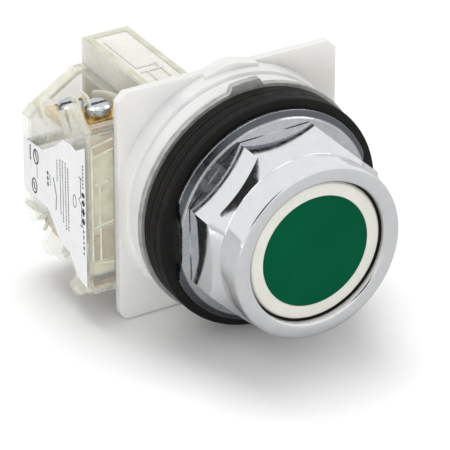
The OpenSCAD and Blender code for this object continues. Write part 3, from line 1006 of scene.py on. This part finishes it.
ring_nut()
trim_washer()
for count, gasket_node in enumerate(("gasket_front", "gasket_middle", "gasket_rear")):
    gasket(gasket_node, 1.3 * count)
locating_ring()
button()
coil("return_spring", 1.0, 4.5, "button_press")
coil("carrier_spring", 0.4, 7, "button_press")
coil("bridge_spring_closed", 0.4, 2)
coil("bridge_spring_open", 0.4, 1.6)
case_shell()
case_outer_wall()
case_ribs()
case_rear_fin()
screw_covers()
# a black ring in the gap round the cap: painted shade
gap_shade_ring()
tall_half()
front_window()
window_backing()
contact_blades()
label_marks()

# every CAD node that no piece above has replaced
for part_node, part_slot in SLOTS.items():
    if not NODES[part_node].hide_render:
        refined(part_node, part_slot, 0.12)


# ---------------------------------------------------------------- stage


def aim(obj, target, roll=0.0):
    """Points an object's -Z axis at the target; roll is in degrees."""
    direction = Vector(target) - obj.location
    spin = direction.to_track_quat("-Z", "Y").to_matrix() @ Matrix.Rotation(math.radians(roll), 3, "Z")
    obj.rotation_euler = spin.to_euler()


CAMERA_TARGET = Vector((-8.64, 0, 0.22)) * MM
CAMERA_AZIMUTH = math.radians(-30.62)
CAMERA_ELEVATION = math.radians(29.38)
CAMERA_DISTANCE = 538.6 * MM
CAMERA_ROLL = 0.215  # degrees
CAMERA_LENS = 258.2
FLOOR_SIZE = (4000, 4000)
SHADE_SIZE = (400, 400)
ARCH_R = 600
ARCH_ANGLES = (205, 165, 125, 85, 45)
ARCH_CARD_SIZE = (110, 300)
WORLD_LIGHT = 0.62
WORLD_REFLECTION = 0.96


def towards_camera(distance):
    """A point on the line from the camera's target to the camera."""
    back = Vector((
        math.sin(CAMERA_AZIMUTH) * math.cos(CAMERA_ELEVATION),
        -math.cos(CAMERA_AZIMUTH) * math.cos(CAMERA_ELEVATION), math.sin(CAMERA_ELEVATION),
    ))
    return CAMERA_TARGET + back * distance


def camera():
    data = bpy.data.cameras.new("camera")
    data.sensor_width = 36
    data.lens = CAMERA_LENS
    data.clip_start = 0.01
    data.clip_end = 20
    obj = placed("camera", data)
    obj.location = towards_camera(CAMERA_DISTANCE)
    aim(obj, CAMERA_TARGET, CAMERA_ROLL)
    bpy.context.scene.camera = obj


def sheet_object(name, width, height, material):
    """A flat staging card about the origin."""
    mesh = bpy.data.meshes.new(name)
    w, h = width / 2 * MM, height / 2 * MM
    mesh.from_pydata([(-w, -h, 0), (w, -h, 0), (w, h, 0), (-w, h, 0)], [], [(0, 1, 2, 3)])
    mesh.materials.append(material)
    obj = placed(name, mesh)
    obj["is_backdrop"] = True
    return obj


def matte(name, grey):
    return Surface(name, (grey, grey, grey), 0.9).material


def reflected_card(name, place, size, material):
    """A card seen only in reflections, as the camera and its operator are."""
    card = sheet_object(name, *size, material)
    card.location = place
    card.visible_camera = False
    card.visible_diffuse = False
    card.visible_shadow = False
    card.visible_transmission = False
    return card


def softbox(name, place, target, size, power):
    """A rectangular lamp that lights surfaces but isn't seen in reflections; lengths in millimetres."""
    data = bpy.data.lights.new(name, "AREA")
    data.shape = "RECTANGLE"
    data.size, data.size_y = size[0] * MM, size[1] * MM
    data.energy = power
    obj = placed(name, data)
    obj.location = Vector(place) * MM
    aim(obj, Vector(target) * MM)
    obj.visible_glossy = False


def overhead(strength, spread, direction):
    """A broad even light from above, like a bank of ceiling lamps."""
    data = bpy.data.lights.new("overhead", "SUN")
    data.energy = strength
    data.angle = math.radians(spread)
    obj = placed("overhead", data)
    obj.location = Vector(direction)
    aim(obj, Vector((0, 0, 0)))
    obj.visible_glossy = False


def world():
    """An even white room, a little brighter in reflections than as a light."""
    surroundings = bpy.data.worlds.new("studio")
    bpy.context.scene.world = surroundings
    surroundings.use_nodes = True
    background = surroundings.node_tree.nodes["Background"]
    background.inputs["Color"].default_value = (1, 1, 1, 1)
    rays = surroundings.node_tree.nodes.new("ShaderNodeLightPath")
    strength = surroundings.node_tree.nodes.new("ShaderNodeMapRange")
    strength.inputs["To Min"].default_value = WORLD_LIGHT
    strength.inputs["To Max"].default_value = WORLD_REFLECTION
    surroundings.node_tree.links.new(rays.outputs["Is Glossy Ray"], strength.inputs["Value"])
    surroundings.node_tree.links.new(strength.outputs["Result"], background.inputs["Strength"])


def floor(level):
    """White paper under the object."""
    s = Surface("floor_paper", (0.88, 0.88, 0.88), 0.6)
    s.bump(s.noise(0.2, 3), 0.02, 0.1)
    sheet_object("floor", *FLOOR_SIZE, s.material).location.z = level


def highlight_arch():
    """Slim bright cards on an arch over the object, seen only as glints along polished edges."""
    glow = Surface("highlight_card", (1, 1, 1), 0.5)
    glow.shader.inputs["Emission Color"].default_value = (1, 1, 1, 1)
    glow.shader.inputs["Emission Strength"].default_value = 5
    for count, degrees in enumerate(ARCH_ANGLES):
        angle = math.radians(degrees)
        away = Vector((math.cos(angle), 0.08, math.sin(angle))) * ARCH_R * MM
        card = reflected_card(f"highlight_{count}", CAMERA_TARGET + away, ARCH_CARD_SIZE, glow.material)
        aim(card, CAMERA_TARGET)


camera()
world()
softbox("key", (-260, -330, 420), (0, 0, 0), (420, 300), 0.25)
softbox("side", (420, -200, 180), (0, 0, 0), (300, 300), 0.3)
softbox("low_fill", (-240, -300, 60), (-14, 5, -12), (160, 100), 0.55)
overhead(1.75, 38, (0.06, 0.29, 1.0))
behind_camera = towards_camera(CAMERA_DISTANCE + 20 * MM)
camera_shade = matte("camera_shade", 0.01)
aim(reflected_card("camera_shade", behind_camera, SHADE_SIZE, camera_shade), CAMERA_TARGET)
floor_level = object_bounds()[0].z
floor(floor_level)
highlight_arch()
just_above_floor = (0, 0, floor_level + 0.05 * MM)
reflected_card("floor_shade", just_above_floor, FLOOR_SIZE, matte("floor_shade", 0.52))
bpy.context.scene.view_settings.view_transform = "Standard"
